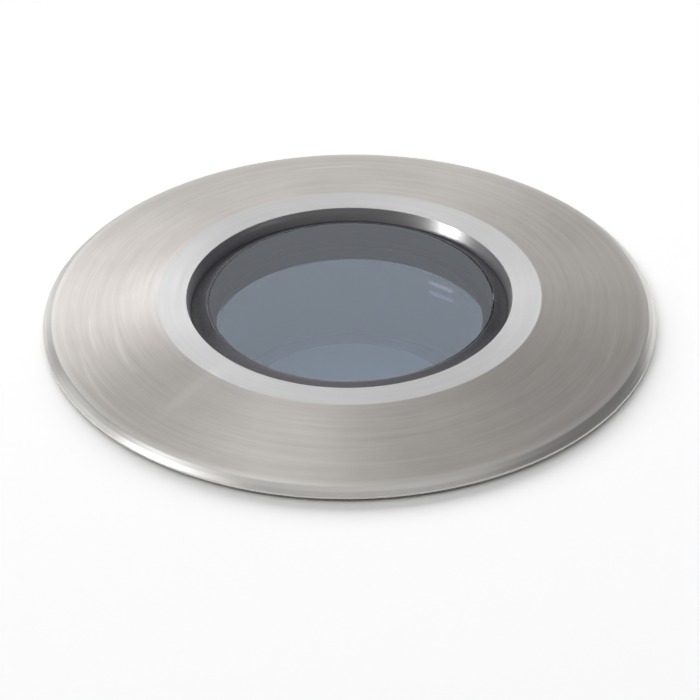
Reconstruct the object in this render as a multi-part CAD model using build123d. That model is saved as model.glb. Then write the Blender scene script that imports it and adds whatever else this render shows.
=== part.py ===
"""In-ground well light: a turned stainless trim with a bonded glass, screwed on a finned lamp
housing that drops into a plastic ground sleeve.

Millimetres, +Z up. The origin is the centre of the trim at paving level: the trim and its glass
stand above z = 0, and everything else hangs below it in the ground.
"""
from build123d import *
import os
from math import cos, radians, sin, sqrt

# ---------------------------------------------------------------- clearances
seat_gap = 0.3           # between curved faces of two bodies that pass each other
thread_play = 0.1        # radial, between the halves of a thread (drawn as plain cylinders)
screw_play = 0.05        # radial, round a screw's shank
fit_play = 0.1           # radial, round a plate, lens or seal in its seat
insert_gap = 0.4         # radial, round the foot of the lamp insert
cable_play = 0.6         # radial, round the supply cable in a hard hole

# ---------------------------------------------------------------- glass and seals
glass_r = 25.95          # the whole light is laid out from here outwards
glass_t = 9.0
glass_sink = 1.06        # glass face below the flat ring
glass_chamfer = 0.3
glass_pocket_gap = 0.45  # filled with silicone
bead_width = 2.1         # from the pocket out to the opening wall
bead_drop = 0.3          # edge of the silicone below the glass face
bead_hollow = 0.2        # sag of the tooled bead
glass_pad_t = 0.5        # soft pad between glass and ledge
o_ring_t = 1.8           # section of the housing seal
o_ring_drop = 2.0        # its groove, below the flange
o_ring_groove = 2.4      # width of that groove
washer_t = 1.0           # slip washer under the flange
washer_width = 4.4
paving_gasket_t = 1.0
paving_gasket_gap = 0.6  # off the sleeve's collar
paving_gasket_inset = 0.8  # in from the edge of the flange

# ---------------------------------------------------------------- trim ring
trim_height = 5.9        # top of the flat ring above the paving
gasket_stand = 0.6       # metal underside above the paving
flange_cover = 10.0      # flange past the cored hole
edge_break = 0.2         # lower corner of the flange
edge_height = 0.45       # upright rim of the flange
edge_chamfer = 0.6
crown_width = 1.8        # rounded band where the cone rolls over into the edge
crown_drop = 0.75
flat_width = 5.25        # flat ring round the opening
opening_break = 0.25
opening_drop = 2.4       # depth of the tapered opening wall
opening_taper = 0.65     # how much narrower that wall is at its foot
bead_depth = 2.1         # silicone groove below the foot of the wall
ledge_width = 2.05       # ledge under the glass
ledge_t = 2.3
pocket_wall = 3.0        # glass pocket to the bore of the skirt
skirt_wall = 2.6
skirt_depth = 12.0       # skirt foot below the paving
skirt_chamfer = 0.8

# ---------------------------------------------------------------- lamp housing
collar_wall = 4.9        # of the casting round the thread
collar_chamfer = 0.6
collar_below_thread = 1.5
collar_slope = 4.0
casting_wall = 3.5       # round the upper cavity
plate_seat = 2.0         # shoulder under the heat plate
driver_room = 24.0       # lower cavity, heat plate to cover
fin_count = 24
fin_root_t = 2.2
fin_tip_t = 1.4
fin_run_out = 6.0        # height and length of the slope at the foot of a fin
fin_keep_off = 9.0       # degrees from a spring pad
lug_count = 3            # plate lugs in the lower cavity, one beside each lenslet
lug_reach = 6.0
lug_width = 8.0
lug_height = 8.0
spring_pad_width = 11.0  # flat pads for the springs
spring_pad_length = 16.0
spring_pad_relief = 1.0  # pad face in from the collar

# ---------------------------------------------------------------- screws
small_screw = (1.0, 1.9, 1.3)     # M2: shank radius, head radius, head height
lamp_screw = (1.25, 2.25, 1.6)    # M2.5
cover_screw = (1.5, 2.6, 2.0)     # M3
small_screw_length = 4.5
plate_screw_length = 11.0
spring_screw_length = 4.5
cover_screw_length = 12.0
driver_screw_length = 4.5
hole_spare = 0.5                  # blind hole past the end of its screw

# ---------------------------------------------------------------- lamp insert
baffle_set_back = 0.2    # bore of the black baffle, in from the ledge
baffle_wall = 1.2
baffle_lip = 1.1         # shoulder that carries the optic
baffle_foot_t = 2.0
baffle_foot_width = 3.7
optic_drop = 19.0        # optic face below the glass
optic_plate_t = 1.5
lenslet_count = 3
lenslet_clear = 1.2      # lenslets off the baffle's lip
lenslet_gap = 0.5        # between neighbours
lenslet_foot_r = 4.2
lenslet_bulge = 0.9
lenslet_length = 8.0
lenslet_well_r = 2.6
lenslet_well_depth = 3.2
board_gap = 0.3          # lenslet feet above the board
board_clear = 1.1        # lamp board in from the baffle's lip
board_t = 1.6
board_screw_inset = 4.5
thermal_pad_t = 0.5
heat_plate_t = 5.0
emitter_size = 3.45
emitter_base_t = 0.8
emitter_dome_r = 1.3
wire_hole_r = 3.0

# ---------------------------------------------------------------- driver
driver_clear = 3.0       # driver board in from its bore
standoff_r = 2.6
standoff_length = 7.0
standoff_inset = 5.0
inductor_r = 6.5
inductor_height = 8.0
inductor_gap = 1.3       # to the lamp terminal
capacitor_r = 4.0
capacitor_height = 8.5
capacitor_gap = (3.5, 3.0)  # to the lamp terminal and between the two cans
lamp_terminal_size = (8.0, 7.0, 6.0)
supply_terminal_size = (14.0, 8.0, 8.0)
supply_terminal_inset = 11.0  # its middle, in from the edge of the board
lead_r = 0.7
lead_spread = 1.3        # each lead from the axis
lead_bend_r = 1.6
lead_run = 6.2           # where a lead ends on the lamp board

# ---------------------------------------------------------------- rear cover, vent and gland
cover_t = 4.0
cover_chamfer = 0.4
cover_gasket_t = 1.0
spigot_height = 2.5      # of the cover, inside the housing
vent_inset = 7.0         # vent in from the wall of the cavity
vent_r = 5.0
vent_stem_r = 3.0
vent_cap_t = 2.8
cable_r = 3.5            # 7 mm supply cable
gland_thread_r = 8.0     # M16
gland_flats = 20.0
gland_hex_t = 5.0
gland_washer_t = 1.0
locknut_t = 2.8
thread_end = 0.7         # thread past the locknut
gland_barrel_length = 10.0
gland_barrel_r = 7.4
seal_r = 5.6
seal_length = 8.0
nut_lead = 0.5           # nut to body once tightened
nut_dome = 5.0
nut_mouth_wall = 1.8

# ---------------------------------------------------------------- springs
spring_count = 3
spring_width = 8.0
spring_t = 0.6
spring_tab = 9.0         # flat tab under the screw
spring_bow = 34.0        # height of the bowed part
spring_tail = 1.5        # tail of the bow, outwards of the pad face
spring_room = 4.5        # collar of the casting to the sleeve's bore

# ---------------------------------------------------------------- ground sleeve
sleeve_collar_wall = 3.5
sleeve_collar_length = 14.0
sleeve_rim_step = 1.0
sleeve_wall = 2.2
sleeve_depth = 130.0
sleeve_base_t = 3.0
sleeve_base_seat = 0.9     # shoulder in the foot of the sleeve, above its drain base
sleeve_foot_chamfer = 0.6
rib_count = 12
rib_t = 2.0
rib_proud = 1.0
hoop_t = 3.0
hoop_above_outlet = 15.0
drain_count = 6
drain_r = 4.0
drain_inset = 15.5       # drain holes in from the bore
centre_drain_r = 5.0
outlet_r = 9.0           # side holes for the cable
outlet_height = 18.0     # above the sleeve's foot
bush_lip = 2.0
bush_lip_t = 1.0

# ---------------------------------------------------------------- heights and places that follow
pocket_r = glass_r + glass_pocket_gap
wall_foot_r = pocket_r + bead_width
opening_r = wall_foot_r + opening_taper
flat_outer_r = opening_r + flat_width
ledge_r = glass_r - ledge_width
skirt_bore_r = pocket_r + pocket_wall
skirt_r = skirt_bore_r + skirt_wall
thread_bore_r = skirt_r + thread_play
collar_r = thread_bore_r + collar_wall
spring_pad_face = collar_r - spring_pad_relief   # from the axis
sleeve_bore_r = collar_r + spring_room
sleeve_collar_r = sleeve_bore_r + sleeve_collar_wall
barrel_r = sleeve_bore_r + sleeve_wall
trim_r = sleeve_collar_r + flange_cover          # 55, half of the 110 mm flange
baffle_r = ledge_r - baffle_set_back
baffle_lip_r = baffle_r - baffle_lip
baffle_foot_r = baffle_r + baffle_wall + baffle_foot_width
plate_bore_r = baffle_foot_r + insert_gap
driver_bore_r = plate_bore_r - plate_seat
body_r = plate_bore_r + casting_wall
board_r = baffle_lip_r - board_clear
driver_r = driver_bore_r - driver_clear

flange_z = gasket_stand
glass_top_z = trim_height - glass_sink
glass_foot_z = glass_top_z - glass_t
wall_foot_z = trim_height - opening_drop
bead_floor_z = wall_foot_z - bead_depth
ledge_z = glass_foot_z - glass_pad_t
ledge_foot_z = ledge_z - ledge_t
o_ring_top_z = flange_z - o_ring_drop
rim_z = flange_z - washer_t                      # top of the lamp housing
collar_foot_z = -skirt_depth - collar_below_thread
optic_top_z = glass_foot_z - optic_drop
optic_plate_z = optic_top_z - optic_plate_t
board_top_z = optic_plate_z - lenslet_length - board_gap
board_foot_z = board_top_z - board_t
plate_top_z = board_foot_z - thermal_pad_t
plate_foot_z = plate_top_z - heat_plate_t
cover_face_z = plate_foot_z - driver_room        # foot of the lamp housing
cover_top_z = cover_face_z - cover_gasket_t
cover_foot_z = cover_top_z - cover_t
spigot_top_z = cover_face_z + spigot_height
driver_foot_z = spigot_top_z + standoff_length
driver_top_z = driver_foot_z + board_t
lamp_terminal_top_z = driver_top_z + lamp_terminal_size[2]
gland_hex_top_z = cover_foot_z - gland_washer_t
gland_hex_foot_z = gland_hex_top_z - gland_hex_t
locknut_top_z = spigot_top_z + locknut_t
nut_top_z = gland_hex_foot_z - nut_lead
barrel_foot_z = gland_hex_foot_z - gland_barrel_length
nut_foot_z = barrel_foot_z - nut_dome
cable_hole_r = cable_r + cable_play
spring_top_z = collar_foot_z - spring_pad_length + spring_tab + 1
spring_screw_z = spring_top_z - spring_tab / 2
sleeve_foot_z = -sleeve_depth
outlet_z = sleeve_foot_z + outlet_height

reach, half_step = baffle_lip_r - lenslet_clear, sin(radians(180 / lenslet_count))
lenslet_circle_r = (reach + lenslet_gap / 2) / (1 + half_step)
lenslet_top_r = reach - lenslet_circle_r
cover_screw_circle_r = body_r - cover_chamfer - cover_screw[1]
plate_screw_circle_r = driver_bore_r - lamp_screw[0]
board_screw_circle_r = board_r - board_screw_inset
standoff_circle_r = driver_r - standoff_inset
vent_circle_r = driver_bore_r - vent_inset
drain_circle_r = sleeve_bore_r - drain_inset
inductor_place = lamp_terminal_size[0] / 2 + inductor_gap + inductor_r
capacitor_place = (-(lamp_terminal_size[0] / 2 + capacitor_gap[0] + capacitor_r),
                   capacitor_r + capacitor_gap[1] / 2)
supply_terminal_place = supply_terminal_inset - driver_r
baffle_screw_circle_r = (baffle_r + baffle_wall + plate_bore_r) / 2
lens_azimuths = [90 + 360 / lenslet_count * i for i in range(lenslet_count)]
lug_azimuths = [90 + 360 / lug_count * i for i in range(lug_count)]
gap_azimuths = [azimuth + 180 / lenslet_count for azimuth in lens_azimuths]
spring_azimuths = [30 + 360 / spring_count * i for i in range(spring_count)]
standoff_azimuths = [45, 180, 315]
cover_azimuths = [0, 90, 180, 270]


# ---------------------------------------------------------------- makers
def turned(*outline):
    """Solid of revolution about Z from a closed outline of (radius, height) points."""
    return revolve(Plane.XZ * make_face(Polyline(*outline, close=True)), Axis.Z)


def ring(inner_r, outer_r, foot_z, top_z):
    """Flat ring; a disc where inner_r is 0."""
    return turned((inner_r, foot_z), (outer_r, foot_z), (outer_r, top_z), (inner_r, top_z))


def rod(radius, foot_z, top_z, circle_r=0.0, azimuth=0.0):
    """Upright cylinder, on a circle about Z."""
    x, y = circle_r * cos(radians(azimuth)), circle_r * sin(radians(azimuth))
    return Pos(x, y, foot_z) * extrude(Circle(radius), top_z - foot_z)


def rods(radius, foot_z, top_z, circle_r, azimuths):
    return [rod(radius, foot_z, top_z, circle_r, azimuth) for azimuth in azimuths]


def cross_rod(radius, near_x, far_x, height):
    """Cylinder along X."""
    return Pos(near_x, 0, height) * Rot(0, 90, 0) * extrude(Circle(radius), far_x - near_x)


def block(size, centre_x, centre_y, foot_z):
    return Pos(centre_x, centre_y, foot_z + size[2] / 2) * Box(*size)


def hexagon(flats, foot_z, top_z):
    plan = RegularPolygon(flats / 2, 6, major_radius=False)
    return Pos(0, 0, foot_z) * extrude(plan, top_z - foot_z)


def about_z(solid, azimuths):
    return [Rot(0, 0, azimuth) * solid for azimuth in azimuths]


def pan_screw(screw, length):
    """Screw pointing down with its head seated at z = 0 and a hexagon socket."""
    shank_r, head_r, head_t = screw
    body = turned((0, -length), (shank_r, -length), (shank_r, 0), (head_r, 0),
                  (head_r, head_t * 0.6), (head_r * 0.8, head_t), (0, head_t))
    return body - hexagon(head_r, head_t / 2, head_t + 1)


def flush_screw(screw, length):
    """Countersunk screw pointing down, its face at z = 0."""
    shank_r, head_r, head_t = screw
    cone_z = shank_r - head_r
    body = turned((0, -length), (shank_r, -length), (shank_r, cone_z), (head_r, 0), (0, 0))
    return body - hexagon(head_r, -head_t / 2, 1)


def on_circle(solid, circle_r, height, azimuths):
    return about_z(Pos(circle_r, 0, height) * solid, azimuths)


# ---------------------------------------------------------------- trim
def trim_ring():
    """Turned ring: shallow cone, flat ring, tapered opening, glass pocket and screwed skirt."""
    upright_z = flange_z + edge_break + edge_height
    slope_r = baffle_r + baffle_wall + seat_gap
    slope_foot_z = ledge_foot_z - (skirt_bore_r - slope_r) / 2
    chamfer_top = (trim_r - edge_chamfer, upright_z + edge_chamfer)
    cone_foot = (chamfer_top[0] - crown_width, chamfer_top[1] + crown_drop)
    down_cone = (cone_foot[0] - flat_outer_r, cone_foot[1] - trim_height)
    crown = TangentArc(cone_foot, chamfer_top, tangent=down_cone)
    rest = Polyline(
        chamfer_top, (trim_r, upright_z), (trim_r, flange_z + edge_break),
        (trim_r - edge_break, flange_z), (skirt_r, flange_z),
        (skirt_r, skirt_chamfer - skirt_depth), (skirt_r - skirt_chamfer, -skirt_depth),
        (skirt_bore_r, -skirt_depth), (skirt_bore_r, slope_foot_z), (slope_r, ledge_foot_z),
        (ledge_r, ledge_foot_z), (ledge_r, ledge_z), (pocket_r, ledge_z),
        (pocket_r, bead_floor_z), (wall_foot_r, bead_floor_z), (wall_foot_r, wall_foot_z),
        (opening_r, trim_height - opening_break), (opening_r + opening_break, trim_height),
        (flat_outer_r, trim_height), cone_foot)
    body = revolve(Plane.XZ * make_face([crown, *rest.edges()]), Axis.Z)
    seal_groove = ring(skirt_r - o_ring_t, trim_r, o_ring_top_z - o_ring_groove, o_ring_top_z)
    gasket_groove = ring(sleeve_collar_r + paving_gasket_gap, trim_r - paving_gasket_inset,
                         flange_z - 1, paving_gasket_t)
    return body - seal_groove - gasket_groove


def glass_lens():
    """Thick disc with ground edges."""
    edge = glass_chamfer
    return turned(
        (0, glass_foot_z), (glass_r - edge, glass_foot_z), (glass_r, glass_foot_z + edge),
        (glass_r, glass_top_z - edge), (glass_r - edge, glass_top_z), (0, glass_top_z))


def glass_seal():
    """Silicone bond: a film round the glass and a hollow bead from the wall up to its edge."""
    inner, outer = (glass_r, glass_top_z - bead_drop), (wall_foot_r, wall_foot_z)
    hollow = ((inner[0] + outer[0]) / 2, (inner[1] + outer[1]) / 2 - bead_hollow)
    rest = Polyline(outer, (wall_foot_r, bead_floor_z), (pocket_r, bead_floor_z),
                    (pocket_r, glass_foot_z), (glass_r, glass_foot_z), inner)
    section = make_face([ThreePointArc(inner, hollow, outer), *rest.edges()])
    return revolve(Plane.XZ * section, Axis.Z)


def housing_o_ring():
    """Round-section seal in the skirt's groove."""
    section_r = o_ring_t / 2
    place = Pos(skirt_r - section_r, o_ring_top_z - o_ring_groove / 2)
    return revolve(Plane.XZ * place * Circle(section_r), Axis.Z)


# ---------------------------------------------------------------- lamp housing
def fin_azimuths():
    """Evenly spaced fins, with none beside a spring pad."""
    spots = [360 / fin_count * (i + 0.5) for i in range(fin_count)]
    return [spot for spot in spots
            if all(abs((spot - pad + 180) % 360 - 180) > fin_keep_off for pad in spring_azimuths)]


def fins():
    """Fins with draft from root to tip, run out on a slope above the cover."""
    root_r = body_r - 1
    plan = Polyline((root_r, -fin_root_t / 2), (collar_r, -fin_tip_t / 2),
                    (collar_r, fin_tip_t / 2), (root_r, fin_root_t / 2), close=True)
    fin = Pos(0, 0, cover_face_z) * extrude(make_face(plan), collar_foot_z - cover_face_z)
    run_out = turned((root_r - 1, collar_foot_z), (collar_r, collar_foot_z),
                     (collar_r, cover_face_z + 2 * fin_run_out),
                     (body_r, cover_face_z + fin_run_out), (root_r - 1, cover_face_z + fin_run_out))
    return about_z(fin & run_out, fin_azimuths())


def lamp_housing():
    """Casting: threaded collar, drafted fins, spring pads, plate lugs and a two-step cavity."""
    outline = ((thread_bore_r - 1, rim_z), (collar_r - collar_chamfer, rim_z),
               (collar_r, rim_z - collar_chamfer), (collar_r, collar_foot_z),
               (body_r, collar_foot_z - collar_slope), (body_r, cover_face_z),
               (driver_bore_r, cover_face_z), (driver_bore_r, plate_foot_z),
               (plate_bore_r, plate_foot_z), (plate_bore_r, rim_z))
    pad_foot_z = collar_foot_z - spring_pad_length
    pad_top_z = rim_z - 2 * collar_chamfer
    pad_inner = plate_bore_r + 2
    pad = block((spring_pad_face - pad_inner, spring_pad_width, pad_top_z - pad_foot_z),
                (spring_pad_face + pad_inner) / 2, 0, pad_foot_z)
    flat = block((2, spring_pad_width, pad_top_z - pad_foot_z),
                 spring_pad_face + 1, 0, pad_foot_z)
    lug = block((lug_reach + 1, lug_width, lug_height),
                driver_bore_r - (lug_reach - 1) / 2, 0, plate_foot_z - lug_height)
    body = turned(*outline) + fins() + about_z(pad, spring_azimuths) + about_z(lug, lug_azimuths)
    body -= about_z(flat, spring_azimuths)
    body -= ring(0, thread_bore_r, collar_foot_z, rim_z + 1)
    body -= rods(lamp_screw[0] + screw_play,
                 plate_top_z - plate_screw_length - hole_spare, plate_foot_z + 1,
                 plate_screw_circle_r, lug_azimuths)
    body -= rods(cover_screw[0] + screw_play, cover_face_z - 1,
                 cover_foot_z + cover_screw_length + hole_spare,
                 cover_screw_circle_r, cover_azimuths)
    spring_hole = cross_rod(lamp_screw[0] + screw_play,
                            spring_pad_face + spring_t - spring_screw_length - hole_spare,
                            spring_pad_face + 1, spring_screw_z)
    return body - about_z(spring_hole, spring_azimuths)


def retaining_spring():
    """Strip with a flat tab on its pad and a bow that nearly touches the sleeve's bore."""
    bow_r = sqrt((sleeve_bore_r - seat_gap) ** 2 - (spring_width / 2) ** 2)
    tab_foot_z = spring_top_z - spring_tab
    middle_z, tail_z = tab_foot_z - spring_bow / 2, tab_foot_z - spring_bow
    face, back = spring_pad_face, spring_pad_face + spring_t
    inner_bow = ThreePointArc((face, tab_foot_z), (bow_r - spring_t, middle_z),
                              (face + spring_tail, tail_z))
    outer_bow = ThreePointArc((back + spring_tail, tail_z), (bow_r, middle_z),
                              (back, tab_foot_z))
    section = make_face([
        Line((face, spring_top_z), (face, tab_foot_z)), inner_bow,
        Line((face + spring_tail, tail_z), (back + spring_tail, tail_z)), outer_bow,
        Line((back, tab_foot_z), (back, spring_top_z)),
        Line((back, spring_top_z), (face, spring_top_z))])
    strip = extrude(Plane.XZ * section, spring_width / 2, both=True)
    return strip - cross_rod(lamp_screw[0] + screw_play, face - 1, back + 1, spring_screw_z)


def spring_screws():
    screw = Rot(0, 90, 0) * pan_screw(lamp_screw, spring_screw_length)
    return on_circle(screw, spring_pad_face + spring_t, spring_screw_z, spring_azimuths)


# ---------------------------------------------------------------- lamp insert
def baffle():
    """Black tube between glass and optic, with a lip for the optic and a screwed foot."""
    top_z = ledge_foot_z - seat_gap
    outer_r, foot_top_z = baffle_r + baffle_wall, plate_top_z + baffle_foot_t
    body = turned((baffle_r, top_z), (outer_r, top_z), (outer_r, foot_top_z),
                  (baffle_foot_r, foot_top_z), (baffle_foot_r, plate_top_z),
                  (baffle_lip_r, plate_top_z), (baffle_lip_r, optic_plate_z),
                  (baffle_r, optic_plate_z))
    return body - rods(small_screw[0] + screw_play, plate_top_z - 1, foot_top_z + 1,
                       baffle_screw_circle_r, gap_azimuths)


def optic():
    """Moulded plate with one collimator cone and LED well for each emitter."""
    foot_z = optic_plate_z - lenslet_length
    side = ThreePointArc(
        (lenslet_foot_r, foot_z),
        ((lenslet_foot_r + lenslet_top_r) / 2 + lenslet_bulge, optic_plate_z - lenslet_length / 2),
        (lenslet_top_r, optic_plate_z))
    close_z = optic_plate_z + optic_plate_t / 2
    rest = Polyline((lenslet_top_r, optic_plate_z), (lenslet_top_r, close_z), (0, close_z),
                    (0, foot_z + lenslet_well_depth), (lenslet_well_r, foot_z + lenslet_well_depth),
                    (lenslet_well_r, foot_z), (lenslet_foot_r, foot_z))
    cone = revolve(Plane.XZ * make_face([side, *rest.edges()]), Axis.Z)
    plate = ring(0, baffle_r - fit_play, optic_plate_z, optic_top_z)
    return plate + on_circle(cone, lenslet_circle_r, 0, lens_azimuths)


def led_board():
    """Round metal-core board."""
    body = ring(wire_hole_r, board_r, board_foot_z, board_top_z)
    return body - rods(small_screw[0] + screw_play, board_foot_z - 1, board_top_z + 1,
                       board_screw_circle_r, gap_azimuths)


def led_emitters():
    base = block((emitter_size, emitter_size, emitter_base_t), 0, 0, 0)
    dome = Pos(0, 0, emitter_base_t) * Sphere(emitter_dome_r)
    cap = dome & block((emitter_size, emitter_size, emitter_dome_r + 1), 0, 0, emitter_base_t / 2)
    return on_circle(base + cap, lenslet_circle_r, board_top_z, lens_azimuths)


def thermal_pad():
    body = ring(wire_hole_r, board_r, plate_top_z, board_foot_z)
    return body - rods(small_screw[0] + screw_play, plate_top_z - 1, board_foot_z + 1,
                       board_screw_circle_r, gap_azimuths)


def heat_plate():
    """Turned plate that carries the lamp insert and passes its heat to the casting."""
    body = ring(wire_hole_r, plate_bore_r - fit_play, plate_foot_z, plate_top_z)
    blind_z = board_top_z - small_screw_length - hole_spare
    body -= rods(small_screw[0] + screw_play, blind_z, plate_top_z + 1,
                 board_screw_circle_r, gap_azimuths)
    body -= rods(small_screw[0] + screw_play,
                 plate_top_z + baffle_foot_t - small_screw_length - hole_spare, plate_top_z + 1,
                 baffle_screw_circle_r, gap_azimuths)
    shank_r, head_r, _ = lamp_screw
    sink = turned((0, plate_foot_z - 1), (shank_r + screw_play, plate_foot_z - 1),
                  (shank_r + screw_play, plate_top_z + shank_r - head_r),
                  (head_r + screw_play, plate_top_z), (head_r + screw_play, plate_top_z + 1),
                  (0, plate_top_z + 1))
    return body - on_circle(sink, plate_screw_circle_r, 0, lug_azimuths)


def lamp_lead(side):
    """Wire from the lamp terminal up through plate and board, bent over onto the board."""
    lie_z = board_top_z + lead_r
    route = FilletPolyline(
        (side * lead_spread, 0, lamp_terminal_top_z), (side * lead_spread, 0, lie_z),
        (side * lead_run, 0, lie_z), radius=lead_bend_r)
    start = Plane(origin=route @ 0, z_dir=route % 0)
    return sweep(start * Circle(lead_r), path=route)


# ---------------------------------------------------------------- driver
def driver_board():
    body = ring(0, driver_r, driver_foot_z, driver_top_z)
    return body - rods(lamp_screw[0] + screw_play, driver_foot_z - 1, driver_top_z + 1,
                       standoff_circle_r, standoff_azimuths)


def driver_inductor():
    """Drum core: two flanges and a wound waist."""
    flange, waist_r = inductor_height / 6, inductor_r * 0.86
    top_z, foot_z = driver_top_z + inductor_height, driver_top_z
    drum = turned((0, foot_z), (inductor_r, foot_z), (inductor_r, foot_z + flange),
                  (waist_r, foot_z + flange), (waist_r, top_z - flange),
                  (inductor_r, top_z - flange), (inductor_r, top_z), (0, top_z))
    return Pos(inductor_place, 0, 0) * drum


def driver_capacitors():
    """Two electrolytic cans, each with its crimped neck."""
    x, y = capacitor_place
    neck_z = driver_top_z + 1.4
    can = turned((0, driver_top_z), (capacitor_r, driver_top_z), (capacitor_r, neck_z - 0.4),
                 (capacitor_r * 0.9, neck_z), (capacitor_r, neck_z + 0.4),
                 (capacitor_r, driver_top_z + capacitor_height - 0.4),
                 (capacitor_r - 0.4, driver_top_z + capacitor_height),
                 (0, driver_top_z + capacitor_height))
    return [Pos(x, side * y, 0) * can for side in (1, -1)]


def lamp_terminal():
    """Terminal block with a wire mouth for each lamp lead."""
    return block(lamp_terminal_size, 0, 0, driver_top_z)


def supply_terminal():
    """Screw terminal block for the supply cable, with wire mouths and screw wells."""
    length, _, height = supply_terminal_size
    body = block(supply_terminal_size, 0, supply_terminal_place, driver_top_z)
    for place in (-length / 3, 0, length / 3):
        well = rod(1.4, driver_top_z + height / 2, driver_top_z + height + 1)
        body -= Pos(place, supply_terminal_place, 0) * well
    return body


def driver_standoffs():
    post = ring(0, standoff_r, spigot_top_z, driver_foot_z)
    bore = ring(0, lamp_screw[0] + screw_play,
                driver_top_z - driver_screw_length - hole_spare, driver_foot_z + 1)
    return on_circle(post - bore, standoff_circle_r, 0, standoff_azimuths)


# ---------------------------------------------------------------- rear cover, vent and gland
def rear_cover_gasket():
    body = ring(driver_bore_r, body_r, cover_top_z, cover_face_z)
    return body - rods(cover_screw[0] + screw_play, cover_top_z - 1, cover_face_z + 1,
                       cover_screw_circle_r, cover_azimuths)


def rear_cover():
    """Turned cap with a spigot, tapped for gland and vent."""
    spigot_r = driver_bore_r - fit_play
    body = turned((gland_thread_r + thread_play, cover_foot_z), (body_r - cover_chamfer, cover_foot_z),
                  (body_r, cover_foot_z + cover_chamfer), (body_r, cover_top_z),
                  (spigot_r, cover_top_z), (spigot_r, spigot_top_z),
                  (gland_thread_r + thread_play, spigot_top_z))
    body -= rods(cover_screw[0] + screw_play, cover_foot_z - 1, cover_top_z + 1,
                 cover_screw_circle_r, cover_azimuths)
    return body - rod(vent_stem_r + thread_play, cover_foot_z - 1, spigot_top_z + 1, vent_circle_r)


def breather_vent():
    """Pressure-balance plug: domed cap, stem and a through bore behind its membrane."""
    cap_foot_z = cover_foot_z - vent_cap_t
    body = turned((0, cap_foot_z), (vent_r * 0.7, cap_foot_z), (vent_r, cap_foot_z + vent_cap_t / 2),
                  (vent_r, cover_foot_z), (vent_stem_r, cover_foot_z), (vent_stem_r, cover_top_z),
                  (vent_stem_r / 3, cover_top_z), (vent_stem_r / 3, cover_foot_z),
                  (0, cover_foot_z))
    return Pos(vent_circle_r, 0, 0) * body


def gland_body():
    """Threaded stem, hexagon and the barrel that holds the seal."""
    top_z = locknut_top_z + thread_end
    stem = ring(0, gland_thread_r, gland_hex_top_z, top_z)
    barrel = ring(0, gland_barrel_r, barrel_foot_z, gland_hex_foot_z)
    body = stem + hexagon(gland_flats, gland_hex_foot_z, gland_hex_top_z) + barrel
    body -= ring(0, cable_hole_r, barrel_foot_z - 1, top_z + 1)
    return body - ring(0, seal_r + fit_play, barrel_foot_z - 1, barrel_foot_z + seal_length)


def gland_nut():
    """Hexagon cap nut with a domed mouth for the cable."""
    mouth_r = cable_hole_r + nut_mouth_wall
    shape = turned((0, nut_foot_z), (mouth_r, nut_foot_z), (gland_flats / 2, barrel_foot_z + 1),
                   (gland_flats, barrel_foot_z + 1), (gland_flats, nut_top_z), (0, nut_top_z))
    body = hexagon(gland_flats, nut_foot_z, nut_top_z) & shape
    body -= ring(0, gland_barrel_r + thread_play, barrel_foot_z, nut_top_z + 1)
    return body - ring(0, cable_hole_r, nut_foot_z - 1, nut_top_z)


def gland_locknut():
    nut = hexagon(gland_flats, spigot_top_z, locknut_top_z)
    return nut - ring(0, gland_thread_r + thread_play, spigot_top_z - 1, locknut_top_z + 1)


# ---------------------------------------------------------------- ground sleeve
def sleeve_can():
    """Moulded tube: stepped rim, collar, ribbed barrel, two cable outlets and a seat for its base."""
    taper = sleeve_collar_r - barrel_r
    hoop_z = outlet_z + hoop_above_outlet
    seat_r, seat_z = sleeve_bore_r + sleeve_base_seat, sleeve_foot_z + sleeve_base_t
    rib_top_z = -sleeve_collar_length
    body = turned(
        (sleeve_bore_r, flange_z), (sleeve_collar_r - sleeve_rim_step, flange_z),
        (sleeve_collar_r - sleeve_rim_step, 0), (sleeve_collar_r, 0),
        (sleeve_collar_r, rib_top_z), (barrel_r, rib_top_z - taper),
        (barrel_r, sleeve_foot_z + sleeve_foot_chamfer),
        (barrel_r - sleeve_foot_chamfer, sleeve_foot_z), (seat_r, sleeve_foot_z),
        (seat_r, seat_z), (sleeve_bore_r, seat_z))
    rib = block((sleeve_wall, rib_t, rib_top_z - hoop_z), barrel_r + rib_proud - sleeve_wall / 2,
                0, hoop_z)
    body += about_z(rib, [360 / rib_count * (i + 0.5) for i in range(rib_count)])
    body += ring(barrel_r - sleeve_wall / 2, barrel_r + rib_proud, hoop_z - hoop_t, hoop_z)
    return body - cross_rod(outlet_r, -sleeve_collar_r, sleeve_collar_r, outlet_z)


def sleeve_base():
    """Disc pressed up into the foot of the sleeve, with drain holes round a larger one."""
    top_z = sleeve_foot_z + sleeve_base_t
    body = ring(centre_drain_r, sleeve_bore_r + sleeve_base_seat, sleeve_foot_z, top_z)
    return body - rods(drain_r, sleeve_foot_z - 1, top_z + 1, drain_circle_r,
                       [360 / drain_count * i for i in range(drain_count)])


def outlet_filler(azimuth, bore_r):
    """Rubber bush, or blank plug where bore_r is 0, with lips curved to the sleeve's wall."""
    foot_z, top_z = outlet_z - 2 * outlet_r, outlet_z + 2 * outlet_r
    inner_r, outer_r = sleeve_bore_r - bush_lip_t, barrel_r + bush_lip_t
    lips = (ring(barrel_r, outer_r, foot_z, top_z) + ring(inner_r, sleeve_bore_r, foot_z, top_z))
    wall = ring(inner_r, outer_r, foot_z, top_z)
    start_x = inner_r / 2
    body = (cross_rod(outlet_r + bush_lip, start_x, trim_r, outlet_z) & lips) + (
        cross_rod(outlet_r - screw_play, start_x, trim_r, outlet_z) & wall)
    if bore_r:
        body -= cross_rod(bore_r, start_x, trim_r, outlet_z)
    return Rot(0, 0, azimuth) * body


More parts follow.
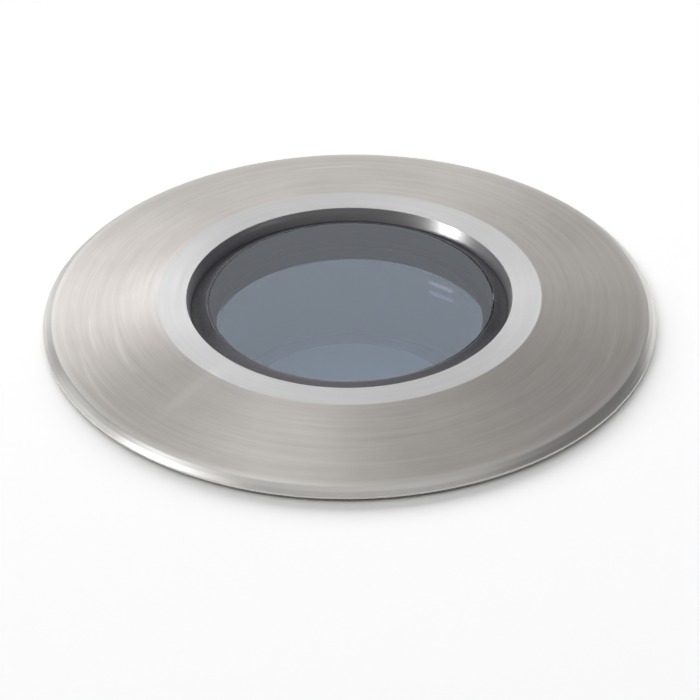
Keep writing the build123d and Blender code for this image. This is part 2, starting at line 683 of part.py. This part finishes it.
# ---------------------------------------------------------------- all the pieces
pieces = {
    "trim_ring": trim_ring(),
    "glass_lens": glass_lens(),
    "glass_seal": glass_seal(),
    "glass_pad": ring(ledge_r, glass_r, ledge_z, glass_foot_z),
    "housing_o_ring": housing_o_ring(),
    "paving_gasket": ring(sleeve_collar_r + paving_gasket_gap, trim_r - paving_gasket_inset,
                          0, paving_gasket_t),
    "slip_washer": ring(skirt_r + seat_gap, skirt_r + washer_width, rim_z, flange_z),
    "lamp_housing": lamp_housing(),
    "spring_screws": spring_screws(),
    "baffle": baffle(),
    "baffle_screws": on_circle(pan_screw(small_screw, small_screw_length), baffle_screw_circle_r,
                               plate_top_z + baffle_foot_t, gap_azimuths),
    "optic": optic(),
    "led_board": led_board(),
    "led_emitters": led_emitters(),
    "board_screws": on_circle(pan_screw(small_screw, small_screw_length), board_screw_circle_r,
                              board_top_z, gap_azimuths),
    "thermal_pad": thermal_pad(),
    "heat_plate": heat_plate(),
    "plate_screws": on_circle(flush_screw(lamp_screw, plate_screw_length), plate_screw_circle_r,
                              plate_top_z, lug_azimuths),
    "lamp_lead_plus": lamp_lead(1),
    "lamp_lead_minus": lamp_lead(-1),
    "driver_board": driver_board(),
    "driver_inductor": driver_inductor(),
    "driver_capacitors": driver_capacitors(),
    "lamp_terminal": lamp_terminal(),
    "supply_terminal": supply_terminal(),
    "driver_standoffs": driver_standoffs(),
    "driver_screws": on_circle(pan_screw(lamp_screw, driver_screw_length), standoff_circle_r,
                               driver_top_z, standoff_azimuths),
    "rear_cover_gasket": rear_cover_gasket(),
    "rear_cover": rear_cover(),
    "rear_cover_screws": on_circle(Rot(180, 0, 0) * pan_screw(cover_screw, cover_screw_length),
                                   cover_screw_circle_r, cover_foot_z, cover_azimuths),
    "breather_vent": breather_vent(),
    "gland_washer": ring(gland_thread_r + thread_play, gland_flats / 2,
                         gland_hex_top_z, cover_foot_z),
    "gland_body": gland_body(),
    "gland_seal": ring(cable_r, seal_r, barrel_foot_z, barrel_foot_z + seal_length),
    "gland_nut": gland_nut(),
    "gland_locknut": gland_locknut(),
    "sleeve_can": sleeve_can(),
    "sleeve_base": sleeve_base(),
    "cable_entry_bush": outlet_filler(0, cable_r),
    "blank_plug": outlet_filler(180, 0),
}
for number, azimuth in enumerate(spring_azimuths, start=1):
    pieces[f"retaining_spring_{number}"] = Rot(0, 0, azimuth) * retaining_spring()

os.makedirs("parts", exist_ok=True)
for name, shape in pieces.items():
    solids = [solid for part in (shape if isinstance(shape, list) else [shape])
              for solid in part.solids()]
    export_step(solids[0] if len(solids) == 1 else Compound(solids), f"parts/{name}.step")
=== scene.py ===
"""In-ground well light, dressed for its picture: turned stainless trim, bonded glass, cast lamp
housing on three springs and a plastic ground sleeve. Lengths are written in millimetres."""

from math import cos, pi, radians, sin, tau

import bmesh
import bpy
import numpy as np
from mathutils import Matrix, Vector


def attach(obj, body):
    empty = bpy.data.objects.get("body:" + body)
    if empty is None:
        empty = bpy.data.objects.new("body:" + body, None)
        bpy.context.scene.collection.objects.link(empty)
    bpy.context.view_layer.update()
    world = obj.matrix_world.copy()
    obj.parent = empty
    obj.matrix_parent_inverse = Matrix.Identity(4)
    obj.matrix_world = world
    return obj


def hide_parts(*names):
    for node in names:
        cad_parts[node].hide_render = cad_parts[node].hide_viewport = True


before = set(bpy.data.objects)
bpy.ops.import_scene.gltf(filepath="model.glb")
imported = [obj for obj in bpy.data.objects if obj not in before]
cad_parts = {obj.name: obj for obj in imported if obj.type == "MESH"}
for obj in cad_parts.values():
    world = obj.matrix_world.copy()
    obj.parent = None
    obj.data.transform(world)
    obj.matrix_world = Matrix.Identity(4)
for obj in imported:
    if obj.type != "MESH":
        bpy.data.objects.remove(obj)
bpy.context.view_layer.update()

# ---------------------------------------------------------------- trim ring
# The one piece that shows above the paving: a ring turned from stainless bar, with a shallow cone,
# a narrow flat round the opening and a screwed skirt. Its face keeps the circular tool marks.
mm = 0.001
thread_pitch = 1.5
thread_depth = 0.45
thread_top_z, thread_foot_z = -4.7, -11.0


def eased(corners, steps=5, hold=0.04):
    """Closed outline from corners of (radius, height, ease). Each corner gives way to the quadratic
    curve that starts and ends `ease` short of it on its two sides and touches both; one more point
    on each side, `hold` further out, keeps the shading of the flat beside it level."""
    corners = np.array(corners, float)
    place, ease = corners[:, :2], corners[:, 2:]

    def toward(other):
        return (other - place) / np.linalg.norm(other - place, axis=1, keepdims=True)
    before, after = toward(np.roll(place, 1, axis=0)), toward(np.roll(place, -1, axis=0))
    t = np.linspace(0, 1, steps)[:, None, None]
    curve = ((1 - t) ** 2 * (place + ease * before) + 2 * t * (1 - t) * place
             + t ** 2 * (place + ease * after))
    out = np.where(ease > 0, ease + hold, 0)
    held = np.concatenate([(place + out * before)[None], curve, (place + out * after)[None]])
    return held.transpose(1, 0, 2).reshape(-1, 2)


def grid_piece(name, x, y, z, close_rows=True):
    """Mesh over a grid of points in mm whose columns close on themselves, as its rows may too.
    Points that fall on one another, such as a pole's, are merged."""
    rows, columns = x.shape
    row = np.arange(rows if close_rows else rows - 1)[:, None]
    column = np.arange(columns)[None, :]
    next_row, next_column = (row + 1) % rows, (column + 1) % columns
    corners = [row * columns + column, row * columns + next_column,
               next_row * columns + next_column, next_row * columns + column]
    faces = np.stack([np.broadcast_to(c, (len(row), columns)) for c in corners], -1).reshape(-1, 4)
    mesh = bpy.data.meshes.new(name)
    mesh.from_pydata((np.stack([x, y, z], -1).reshape(-1, 3) * mm).tolist(), [], faces.tolist())
    work = bmesh.new()
    work.from_mesh(mesh)
    bmesh.ops.remove_doubles(work, verts=work.verts, dist=1e-6)
    bmesh.ops.recalc_face_normals(work, faces=work.faces)
    work.to_mesh(mesh)
    work.free()
    mesh.shade_smooth()
    piece = bpy.data.objects.new(name, mesh)
    bpy.context.scene.collection.objects.link(piece)
    return piece


def turned(name, outline, turns=384, growth=None):
    """Closed outline of (radius, height) turned about Z: x = r cos a, y = r sin a. growth adds to
    the radius from the height and the angle."""
    angle = np.linspace(0, tau, turns, endpoint=False)[None, :]
    r, z = (np.repeat(part[:, None], turns, axis=1) for part in np.asarray(outline).T)
    if growth:
        r = r + growth(r, z, angle)
    return grid_piece(name, r * np.cos(angle), r * np.sin(angle), z)


def thread(r, z, angle):
    """Rounded thread cut into the skirt: a wave of the height minus one pitch a turn, faded out
    where the thread starts and ends, and nothing on any other radius."""
    wave = 0.5 - 0.5 * np.cos(tau * (z / thread_pitch - angle / tau))
    fade = np.clip(np.minimum(thread_top_z - z, z - thread_foot_z) / 0.6, 0, 1)
    return np.where(np.abs(r - 32) < 0.01, -thread_depth * wave ** 0.7 * fade, 0)


class Shade:
    """A socket of a material in Python sums: each operator adds its Math node."""
    def __init__(self, finish, socket):
        self.finish, self.socket = finish, socket

    def sum(self, operation, first, second):
        return self.finish.node("Math", {"operation": operation}, {0: first, 1: second})

    def __add__(self, other): return self.sum("ADD", self, other)
    def __sub__(self, other): return self.sum("SUBTRACT", self, other)
    def __rsub__(self, other): return self.sum("SUBTRACT", other, self)
    def __mul__(self, other): return self.sum("MULTIPLY", self, other)
    def __truediv__(self, other): return self.sum("DIVIDE", self, other)
    def __rtruediv__(self, other): return self.sum("DIVIDE", other, self)
    def __pow__(self, other): return self.sum("POWER", self, other)
    __radd__, __rmul__ = __add__, __mul__


class Nodes:
    """A node tree, with one method that makes any node and short ones for the usual nodes."""
    def __init__(self, tree):
        self.tree = tree

    def plug(self, socket, value):
        if isinstance(value, Shade):
            self.tree.links.new(value.socket, socket)
        elif value is not None:
            socket.default_value = value

    def node(self, kind, settings=None, inputs=None, output=0):
        """Any node: its type, its settings (a ramp's stops among them), then values or links."""
        node = self.tree.nodes.new("ShaderNode" + kind)
        for key, value in (settings or {}).items():
            if key == "stops":
                while len(node.color_ramp.elements) < len(value):
                    node.color_ramp.elements.new(0.5)
                for element, (place, level) in zip(node.color_ramp.elements, value):
                    element.position, element.color = place, (level, level, level, 1)
            else:
                setattr(node, key, value)
        for key, value in (inputs or {}).items():
            self.plug(node.inputs[key], value)
        return Shade(self, node.outputs[output])

    def place(self):
        """Object coordinates in mm as (vector, x, y, z)."""
        vector = self.node("VectorMath", {"operation": "SCALE"}, {
            0: self.node("TexCoord", output="Object"), "Scale": 1 / mm})
        return [vector] + [self.node("SeparateXYZ", {}, {0: vector}, i) for i in range(3)]

    def vector(self, x, y, z):
        return self.node("CombineXYZ", {}, {0: x, 1: y, 2: z})

    def noise(self, vector, scale=1.0, detail=2.0, roughness=0.5):
        """Cloudy noise from 0 to 1."""
        return self.node("TexNoise", {}, {
            "Vector": vector, "Scale": scale, "Detail": detail, "Roughness": roughness})

    def ramp(self, value, *stops):
        return self.node("ValToRGB", {"stops": stops}, {0: value})

    def direct(self):
        """1 for what the camera sees by itself, in a mirror or through glass, and 0 otherwise."""
        camera, glossy, through = (self.node("LightPath", output="Is %s Ray" % kind)
                                   for kind in ("Camera", "Glossy", "Transmission"))
        return camera.sum("MAXIMUM", camera, camera.sum("MAXIMUM", glossy, through))

    def wave(self, value):
        """Cosine from 0 to 1, with one crest for each whole number of the value."""
        return 0.5 + 0.5 * self.node("Math", {"operation": "COSINE"}, {0: value * tau})

    def blend(self, factor, first, second):
        return self.node("Mix", {"data_type": "RGBA"}, {0: factor, 6: first, 7: second}, 2)


class Finish(Nodes):
    """A material on one Principled shader. fixed holds the sockets that are the same all over."""
    def __init__(self, name, **fixed):
        self.material = bpy.data.materials.new(name)
        self.material.use_nodes = True
        super().__init__(self.material.node_tree)
        self.shader = self.tree.nodes["Principled BSDF"]
        self.set(**fixed)

    def set(self, **sockets):
        """Values or links for the shader's sockets, their names in lower case with underscores."""
        for key, value in sockets.items():
            self.plug(self.shader.inputs[key.replace("_", " ").title().replace("Ior", "IOR")], value)

    def bump(self, height, distance, strength=1.0):
        """Normals of a surface raised by height (0 to 1) times distance in mm."""
        self.set(normal=self.node("Bump", {}, {
            "Height": height, "Distance": distance * mm, "Strength": strength}))


def paint(red, green, blue):
    """Linear colour from the 0 to 255 levels of a screen."""
    level = np.array([red, green, blue]) / 255
    return (*np.where(level > 0.04045, ((level + 0.055) / 1.055) ** 2.4, level / 12.92).tolist(), 1)


def about_axis(finish, x, y):
    """Distance from the Z axis, and the two parts of the direction away from it, so that a pattern
    round the axis has no seam."""
    radius = (x * x + y * y) ** 0.5
    return radius, x / radius, y / radius


# Marks that cross the tool's circles: centre, radius and middle of each arc, half its length and
# its width. The last is a broad wipe outwards from the flat ring.
scratches = [(-8.3, -8.2, 39.6, -44.3, -24.7, 15, 1.0), (-0.9, -3.7, 41.0, -40.6, -14.4, 9, 1.0),
             (-3.0, -2.0, 43.5, -45.5, -9.0, 8, 0.8), (9.9, -10.4, 35.2, 38.3, -31.2, 14, 1.2),
             (-8.8, -1.5, 56.5, 46.1, -14.7, 8, 1.0), (1.0, 16.4, 31.3, -3.5, 47.3, 8, 1.0),
             (118.0, -165.0, 200.0, -27.0, -28.0, 10, 4.5)]


def turned_steel():
    """Stainless as the lathe leaves it: fine circular grooves, broader rings, faint patches and
    curved scratches, each an arc where the distance to its centre is near its radius. The edge is
    filed a little rougher and painted lighter all round, a painted highlight, and the pocket of the
    glass is primed black."""
    steel = Finish("turned stainless steel", anisotropic=0.7, anisotropic_rotation=0.25)
    vector, x, y, z = steel.place()
    radius, east, north = about_axis(steel, x, y)
    fine = steel.noise(steel.vector(east * 3, north * 3, radius * 5), detail=3, roughness=0.7)
    bands = steel.noise(steel.vector(east * 1.2, north * 1.2, radius * 0.9), detail=3)
    patches = steel.noise(vector, scale=0.07, detail=4, roughness=0.6)
    flat = steel.vector(x, y, 0.0)
    scratched = 0.0
    for centre_x, centre_y, arc, middle_x, middle_y, half, width in scratches:
        away, along = (steel.node("VectorMath", {"operation": "DISTANCE"}, {0: flat, 1: point}, 1)
                       for point in ((centre_x, centre_y, 0), (middle_x, middle_y, 0)))
        off = steel.node("Math", {"operation": "ABSOLUTE"}, {0: away - arc})
        scratched = scratched + (steel.ramp(off / width, (0.1, 1), (0.3, 0.35), (0.9, 0))
                                 * steel.ramp(along / half, (0.3, 1), (1.0, 0)))
    tone = steel.ramp(fine * 0.42 + bands * 0.28 + patches * 0.3 + 0.2 * scratched,
                      (0.33, 0.0), (0.67, 1.0))
    cone = steel.ramp(radius / 100, (0.343, 0.0), (0.346, 1.0))
    # Painted highlight: from a radius of about 52.2 mm out, the edge is painted lighter (232, 230,
    # 226); the filed edge is also made a little rougher.
    filed_edge_with_painted_highlight = steel.ramp(radius / 100, (0.522, 0), (0.534, 1))
    primed = (steel.ramp(radius / 100, (0.276, 1), (0.278, 0))
              * steel.ramp(z / 20 + 0.5, (0.13, 0), (0.14, 1)))
    bare = steel.blend(cone, steel.blend(tone, paint(208, 208, 209), paint(220, 220, 221)),
                       steel.blend(tone, paint(201, 196, 191), paint(225, 220, 215)))
    bare = steel.blend(filed_edge_with_painted_highlight, bare, paint(232, 230, 226))
    steel.set(base_color=steel.blend(primed, bare, paint(24, 26, 30)), metallic=1 - primed,
              roughness=0.36 + 0.04 * (1 - tone) + 0.02 * filed_edge_with_painted_highlight)
    wall = steel.ramp(radius / 100, (0.291, 1), (0.293, 0))
    steel.bump((fine * 0.7 + bands * 0.3) * (1 + 2.5 * wall), 0.012)
    return steel.material


flange_corners = [
    (29.2, 5.9, 0.07), (34.4, 5.9, 0.12), (53.582, 2.422, 0.22), (54.4, 1.85, 0.05),
    (55, 1.25, 0.05), (55, 0.8, 0.03), (54.8, 0.6, 0.03),
    (54.2, 0.6, 0.05), (54.2, 1.0, 0.05), (45.6, 1.0, 0.05), (45.6, 0.6, 0.05),
    (32, 0.6, 0.1), (32, -1.4, 0.1), (30.2, -1.4, 0.1), (30.2, -3.8, 0.1), (32, -3.8, 0.1)]
skirt_corners = [
    (32, -11.2, 0.05), (31.2, -12, 0.05), (29.4, -12, 0.1), (29.4, -9.06, 0.1),
    (25.2, -6.96, 0.1), (23.9, -6.96, 0.1), (23.9, -4.66, 0.1), (26.4, -4.66, 0.1),
    (26.4, 1.4, 0.1), (28.5, 1.4, 0.1), (28.45, 3.5, 0.08)]
trim_outline = eased(flange_corners + skirt_corners)
skirt_start = len(trim_outline) * len(flange_corners) // len(flange_corners + skirt_corners)
thread_rows = np.linspace(thread_top_z, thread_foot_z, 80)
trim_outline = np.concatenate([
    trim_outline[:skirt_start], np.stack([np.full_like(thread_rows, 32), thread_rows], -1),
    trim_outline[skirt_start:]])
trim = turned("trim_turned", trim_outline, turns=360, growth=thread)
trim.data.materials.append(turned_steel())
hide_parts("trim_ring")
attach(trim, "trim")

# ---------------------------------------------------------------- glass
# A 9 mm disc of clear toughened glass, 52 mm across, with its edges ground to a small chamfer. It
# lies on a soft pad and is bonded into the trim.
lens = turned("glass_disc", eased([
    (0, -4.16, 0), (25.65, -4.16, 0.05), (25.95, -3.86, 0.05),
    (25.95, 4.54, 0.05), (25.65, 4.84, 0.05), (0, 4.84, 0)]))
glass = Finish("clear toughened glass", base_color=paint(218, 237, 255), roughness=0.0,
               specular_tint=paint(222, 234, 255), ior=1.5, transmission_weight=1.0)
lens.data.materials.append(glass.material)
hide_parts("glass_lens")
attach(lens, "trim")

# ---------------------------------------------------------------- silicone bead
# Dark grey silicone, run into the groove round the glass and drawn off with a tool: it climbs
# unevenly onto the rim of the glass and hollows down to the foot of the opening's wall.
bead_turns = 384
bead_angle = np.linspace(0, tau, bead_turns, endpoint=False)
bead_edge = (25.55 + 0.4 * np.cos(bead_angle) + 0.05 * np.sin(3 * bead_angle + 1)
             + 0.03 * np.sin(8 * bead_angle + 2) + 0.02 * np.sin(17 * bead_angle))
bead_t = np.linspace(0, 1, 25)[:, None]
weights = [(1 - bead_t) ** 3, 3 * bead_t * (1 - bead_t) ** 2,
           3 * bead_t ** 2 * (1 - bead_t), bead_t ** 3]
bead_r = sum(w * r for w, r in zip(weights, (bead_edge, 26.3, 26.9, 28.45)))
bead_z = sum(w * z for w, z in zip(weights, (4.85, 4.95, 3.5, 3.5))) + 0 * bead_r
below = np.array([(28.45, 1.4), (26.4, 1.4), (26.4, -4.16), (25.92, -4.16), (25.92, 4.4)])
bead_r, bead_z = (np.concatenate([top, np.repeat(part[:, None], bead_turns, axis=1)])
                  for top, part in zip((bead_r, bead_z), below.T))
bead = grid_piece("silicone_bead", bead_r * np.cos(bead_angle), bead_r * np.sin(bead_angle), bead_z)
silicone = Finish("dark silicone", roughness=0.55)
vector, x, y, z = silicone.place()
skin = silicone.noise(vector, scale=1.6, detail=4, roughness=0.6)
above = silicone.ramp(z / 10, (0.33, 0), (0.36, 1))
# Painted light: on the near side of the bead's top, from a y of about -9 mm to -27 mm, the grey is
# painted up to a light grey; the skin noise adds a random change of tone.
silicone.set(base_color=silicone.blend(
    above, paint(15, 22, 34), silicone.blend(
        silicone.ramp(y / 60 + 0.5, (0.05, 1.0), (0.35, 0.12)) + 0.3 * (skin - 0.5),
        paint(56, 56, 61), paint(146, 146, 152))))
silicone.bump(skin * above, 0.12)
bead.data.materials.append(silicone.material)
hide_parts("glass_seal")
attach(bead, "trim")

# ---------------------------------------------------------------- paving gasket
# A flat ring of black cellular rubber, stuck in the groove under the flange. Only its edge shows,
# as the dark line between the metal and the paving.
gasket = turned("paving_gasket_ring", eased([
    (45.6, 0, 0.1), (54.2, 0, 0.15), (54.2, 1.0, 0.15), (45.6, 1.0, 0.1)]))
rubber = Finish("black rubber", base_color=paint(30, 30, 32), roughness=0.7)
vector, x, y, z = rubber.place()
rubber.bump(rubber.noise(vector, scale=3, detail=3), 0.05)
gasket.data.materials.append(rubber.material)
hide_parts("paving_gasket")
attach(gasket, "trim")

# ---------------------------------------------------------------- lamp seen through the glass
# A black moulded baffle tube, and at its foot the clear plate of the optic over the lamp board.


def dress(finish, *nodes):
    """The same finish for each of these CAD nodes."""
    for name in nodes:
        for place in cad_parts[name].material_slots:
            place.material = finish.material


def plain(name, colour, roughness, grain=2.0, depth=0.03, spread=0.12, metallic=0.0):
    """A finish with a cloudy change of tone and a fine grain: colour is made up to `spread`
    lighter and darker, and the grain is raised by `depth` mm."""
    finish = Finish(name, metallic=metallic)
    vector, x, y, z = finish.place()
    cloud = finish.noise(vector, scale=0.08, detail=4)
    grained = finish.noise(vector, scale=grain, detail=3)
    darker, lighter = ([min(part * k, 1) for part in colour[:3]] + [1]
                       for k in (1 - spread, 1 + spread))
    finish.set(base_color=finish.blend(finish.ramp(cloud, (0.3, 0), (0.7, 1)), darker, lighter),
               roughness=roughness + 0.1 * (grained - 0.5))
    finish.bump(grained, depth)
    return finish


black_plastic = plain("black moulded plastic", paint(52, 55, 60), 0.6, depth=0.008)
dress(black_plastic, "baffle", "breather_vent")
optic_plastic = Finish("clear optic plastic", roughness=0.15, ior=1.49, transmission_weight=0.6)
vector, x, y, z = optic_plastic.place()
radius, east, north = about_axis(optic_plastic, x, y)
# Painted reflection: outside a radius of about 20.3 mm the clear optic is painted blue-grey, a painted
# blue sheen of reflected light; inside that radius it is near white and clear.
optic_plastic.set(base_color=optic_plastic.blend(
    optic_plastic.ramp(radius / 100, (0.202, 0), (0.204, 1)), paint(235, 240, 248),
    paint(96, 104, 116)))
dress(optic_plastic, "optic")
dress(plain("white solder mask", paint(225, 225, 222), 0.45), "led_board")
dress(plain("emitter phosphor", paint(235, 200, 90), 0.5), "led_emitters")
dress(plain("grey thermal pad", paint(140, 143, 148), 0.8), "thermal_pad")
dress(plain("soft clear pad", paint(60, 60, 64), 0.7), "glass_pad")

# ---------------------------------------------------------------- lamp housing
# Pressure-cast aluminium with drafted fins. Its skin is grainy from the mould; the collar that the
# trim screws into, and the foot that the cover closes, are turned bright.


def cast_aluminium():
    """Cast skin with soft flow marks. Where the height is above the collar's step or next to the
    joint of the cover, it turns into a smoother machined face with rings up the height."""
    cast = Finish("cast aluminium", metallic=0.95)
    vector, x, y, z = cast.place()
    turned_face = cast.ramp(z / 100 + 1, (0.345, 0), (0.35, 1), (0.357, 1), (0.362, 0),
                            (0.862, 0), (0.866, 1))
    grain = cast.noise(vector, scale=2.2, detail=4, roughness=0.7)
    flow = cast.noise(vector, scale=0.12, detail=4, roughness=0.6)
    rings = cast.noise(cast.vector(0.0, 0.0, z), scale=5, detail=2)
    skin = cast.blend(cast.ramp(flow, (0.35, 0), (0.65, 1)), paint(158, 160, 164), paint(184, 186, 188))
    cast.set(base_color=cast.blend(turned_face, skin, cast.blend(rings, paint(190, 192, 194),
                                                                 paint(214, 215, 217))),
             roughness=0.52 + 0.12 * (grain - 0.5) - 0.2 * turned_face)
    cast.bump(grain * (1 - turned_face) + 0.3 * rings * turned_face, 0.09)
    return cast


dress(cast_aluminium(), "lamp_housing", "rear_cover")
dress(plain("machined aluminium", paint(200, 201, 203), 0.35, metallic=1.0), "heat_plate")

# ---------------------------------------------------------------- springs and screws
# Three leaf springs, bent from stainless strip whose rolled grain runs along them, and turned
# stainless screws.
spring = Finish("rolled spring steel", metallic=1.0)
vector, x, y, z = spring.place()
rolled = spring.noise(spring.vector(x * 6, y * 6, z * 0.3), detail=3, roughness=0.6)
blotch = spring.noise(vector, scale=0.3, detail=3)
spring.set(base_color=spring.blend(rolled * 0.6 + blotch * 0.4, paint(168, 168, 167),
                                   paint(222, 221, 219)), roughness=0.24 + 0.16 * rolled)
spring.bump(rolled, 0.02)
dress(spring, "retaining_spring_1", "retaining_spring_2", "retaining_spring_3")
dress(plain("screw steel", paint(190, 189, 186), 0.3, metallic=1.0), "spring_screws",
      "baffle_screws", "board_screws", "plate_screws", "driver_screws", "rear_cover_screws")

# ---------------------------------------------------------------- driver
dress(plain("green board", paint(30, 92, 56), 0.4), "driver_board")
dress(plain("ferrite", paint(62, 58, 56), 0.6), "driver_inductor")
dress(plain("capacitor sleeve", paint(32, 44, 96), 0.4), "driver_capacitors")
dress(plain("terminal plastic", paint(58, 128, 84), 0.45), "lamp_terminal", "supply_terminal")
dress(plain("brass", paint(200, 164, 92), 0.35, metallic=1.0), "driver_standoffs")
dress(plain("red lead", paint(176, 34, 30), 0.45), "lamp_lead_plus")
dress(plain("black lead", paint(28, 28, 30), 0.45), "lamp_lead_minus")

# ---------------------------------------------------------------- seals and gland
dress(rubber, "housing_o_ring", "rear_cover_gasket", "gland_washer", "gland_seal")
dress(plain("slip washer plastic", paint(222, 220, 212), 0.4), "slip_washer")
dress(plain("grey gland plastic", paint(72, 74, 78), 0.45), "gland_body", "gland_locknut")
ribbed = Finish("ribbed gland nut", base_color=paint(70, 72, 76))
vector, x, y, z = ribbed.place()
around = ribbed.node("Math", {"operation": "ARCTAN2"}, {0: y, 1: x})
grip = ribbed.wave(around * (36 / tau)) * ribbed.ramp(z / 100 + 1, (0.12, 0), (0.14, 1), (0.23, 1),
                                                      (0.24, 0))
ribbed.set(roughness=0.42 + 0.1 * ribbed.noise(vector, scale=1.5))
ribbed.bump(grip, 0.25)
dress(ribbed, "gland_nut")

# ---------------------------------------------------------------- ground sleeve
# Injection-moulded black plastic with a spark-eroded grain, scuffed in handling; soft rubber bush
# and plug pressed into its two outlets, moulded with steps round their own axis.
sleeve = Finish("sleeve plastic")
vector, x, y, z = sleeve.place()
grain = sleeve.noise(vector, scale=2.5, detail=3, roughness=0.6)
scuff = sleeve.noise(sleeve.vector(x, y, z * 0.5), scale=0.16, detail=6, roughness=0.7)
rubbed = sleeve.ramp(scuff, (0.52, 0), (0.72, 1))
sleeve.set(base_color=sleeve.blend(rubbed, paint(39, 40, 43), paint(52, 53, 56)),
           roughness=0.46 + 0.1 * (grain - 0.5) + 0.14 * rubbed)
sleeve.bump(grain, 0.06)
dress(sleeve, "sleeve_can", "sleeve_base")
stepped = Finish("stepped rubber", base_color=paint(26, 26, 28))
vector, x, y, z = stepped.place()
drop = z + 112
stepped.set(roughness=0.66 + 0.16 * (stepped.noise(vector, scale=2) - 0.5))
stepped.bump(stepped.wave((y * y + drop * drop) ** 0.5 / 2.2) ** 3, 0.3)
dress(stepped, "cable_entry_bush", "blank_plug")

# ---------------------------------------------------------------- floor, light and camera
# The light stands in a cored hole in plain white paving; the paving is only as wide as the shadow
# that it takes, and beyond it the background is as white.
floor_angle = np.linspace(0, tau, 256, endpoint=False)[None, :]
floor_r = np.array([45.3, 60, 132])[:, None]
floor = grid_piece("paving", floor_r * np.cos(floor_angle), floor_r * np.sin(floor_angle),
                   0 * floor_r + 0 * floor_angle, close_rows=False)
paving = Finish("white paving", roughness=1.0, specular_ior_level=0.0)
paving.set(base_color=paving.blend(paving.direct(), (0.85, 0.85, 0.85, 1), (1.28, 1.28, 1.28, 1)))
floor.data.materials.append(paving.material)

scene = bpy.context.scene
scene.world = bpy.data.worlds.new("studio")
scene.world.use_nodes = True
studio = Nodes(scene.world.node_tree)
height = studio.node("SeparateXYZ", {}, {0: studio.node("TexCoord", output="Generated")}, 2)
room = studio.ramp(height * 0.5 + 0.5, (0.49, 0.9), (0.51, 0.12), (0.885, 0.13), (0.925, 0.41))
sky = studio.tree.nodes["Background"]
studio.plug(sky.inputs[0], studio.blend(studio.node("LightPath", output="Is Camera Ray"),
                                        room, (1, 1, 1, 1)))


def softbox(name, azimuth, elevation, distance, width, height, radiance, mirrored=True, matt=True,
            turn=0):
    """Flat lamp that faces the origin, turned in its own plane by `turn` degrees; its power is
    radiance times pi times its area. Metal and glass mirror it if it is mirrored, and it lights
    matt surfaces and casts its shadow there if matt is true."""
    lamp = bpy.data.lights.new(name, "AREA")
    lamp.shape, lamp.size, lamp.size_y = "RECTANGLE", width, height
    lamp.energy = radiance * pi * width * height
    holder = bpy.data.objects.new(name, lamp)
    holder.visible_camera, holder.visible_diffuse = False, matt
    holder.visible_glossy = holder.visible_transmission = mirrored
    way = Vector((cos(radians(azimuth)) * cos(radians(elevation)),
                  sin(radians(azimuth)) * cos(radians(elevation)), sin(radians(elevation))))
    holder.matrix_world = (Matrix.Translation(way * distance)
                           @ way.to_track_quat("Z", "Y").to_matrix().to_4x4()
                           @ Matrix.Rotation(radians(turn), 4, "Z"))
    scene.collection.objects.link(holder)


softbox("backdrop light", 98.8, 28.8, 2.5, 1.33, 0.92, 1.74)
softbox("overhead light", 112, 68, 2.5, 0.48, 0.68, 1.95)
softbox("side light", 202, 44, 2.0, 1.05, 0.46, 2.4)
softbox("key light", 197, 17, 2.0, 0.3, 0.34, 50.0, matt=False)
softbox("front light", 285, 62, 2.5, 2.8, 0.9, 0.6)
softbox("right light", 55, 5, 2.5, 1.5, 0.9, 1.1)
softbox("left light", 126, 6, 2.5, 0.8, 0.8, 1.1)
softbox("low light", 158, 22, 2.5, 1.3, 0.9, 1.1)
softbox("window streak", 88.1, 33.4, 2.306, 0.018, 0.0025, 1.3, matt=False, turn=-22)
softbox("back glow", 97, 26, 2.5, 5.0, 1.0, 4.6, mirrored=False)

camera_elevation, camera_distance, aim_drop, roll = radians(33.81), 0.8, 0.006, radians(-0.643)
camera = bpy.data.objects.new("camera", bpy.data.cameras.new("camera"))
camera.data.lens = 228.9
stand = Vector((0, -cos(camera_elevation), sin(camera_elevation))) * camera_distance
look = stand - Vector((0, 0, -aim_drop))
camera.matrix_world = (Matrix.Translation(stand) @ look.to_track_quat("Z", "Y").to_matrix().to_4x4()
                       @ Matrix.Rotation(roll, 4, "Z"))
scene.collection.objects.link(camera)
scene.camera = camera
scene.view_settings.view_transform = "Standard"
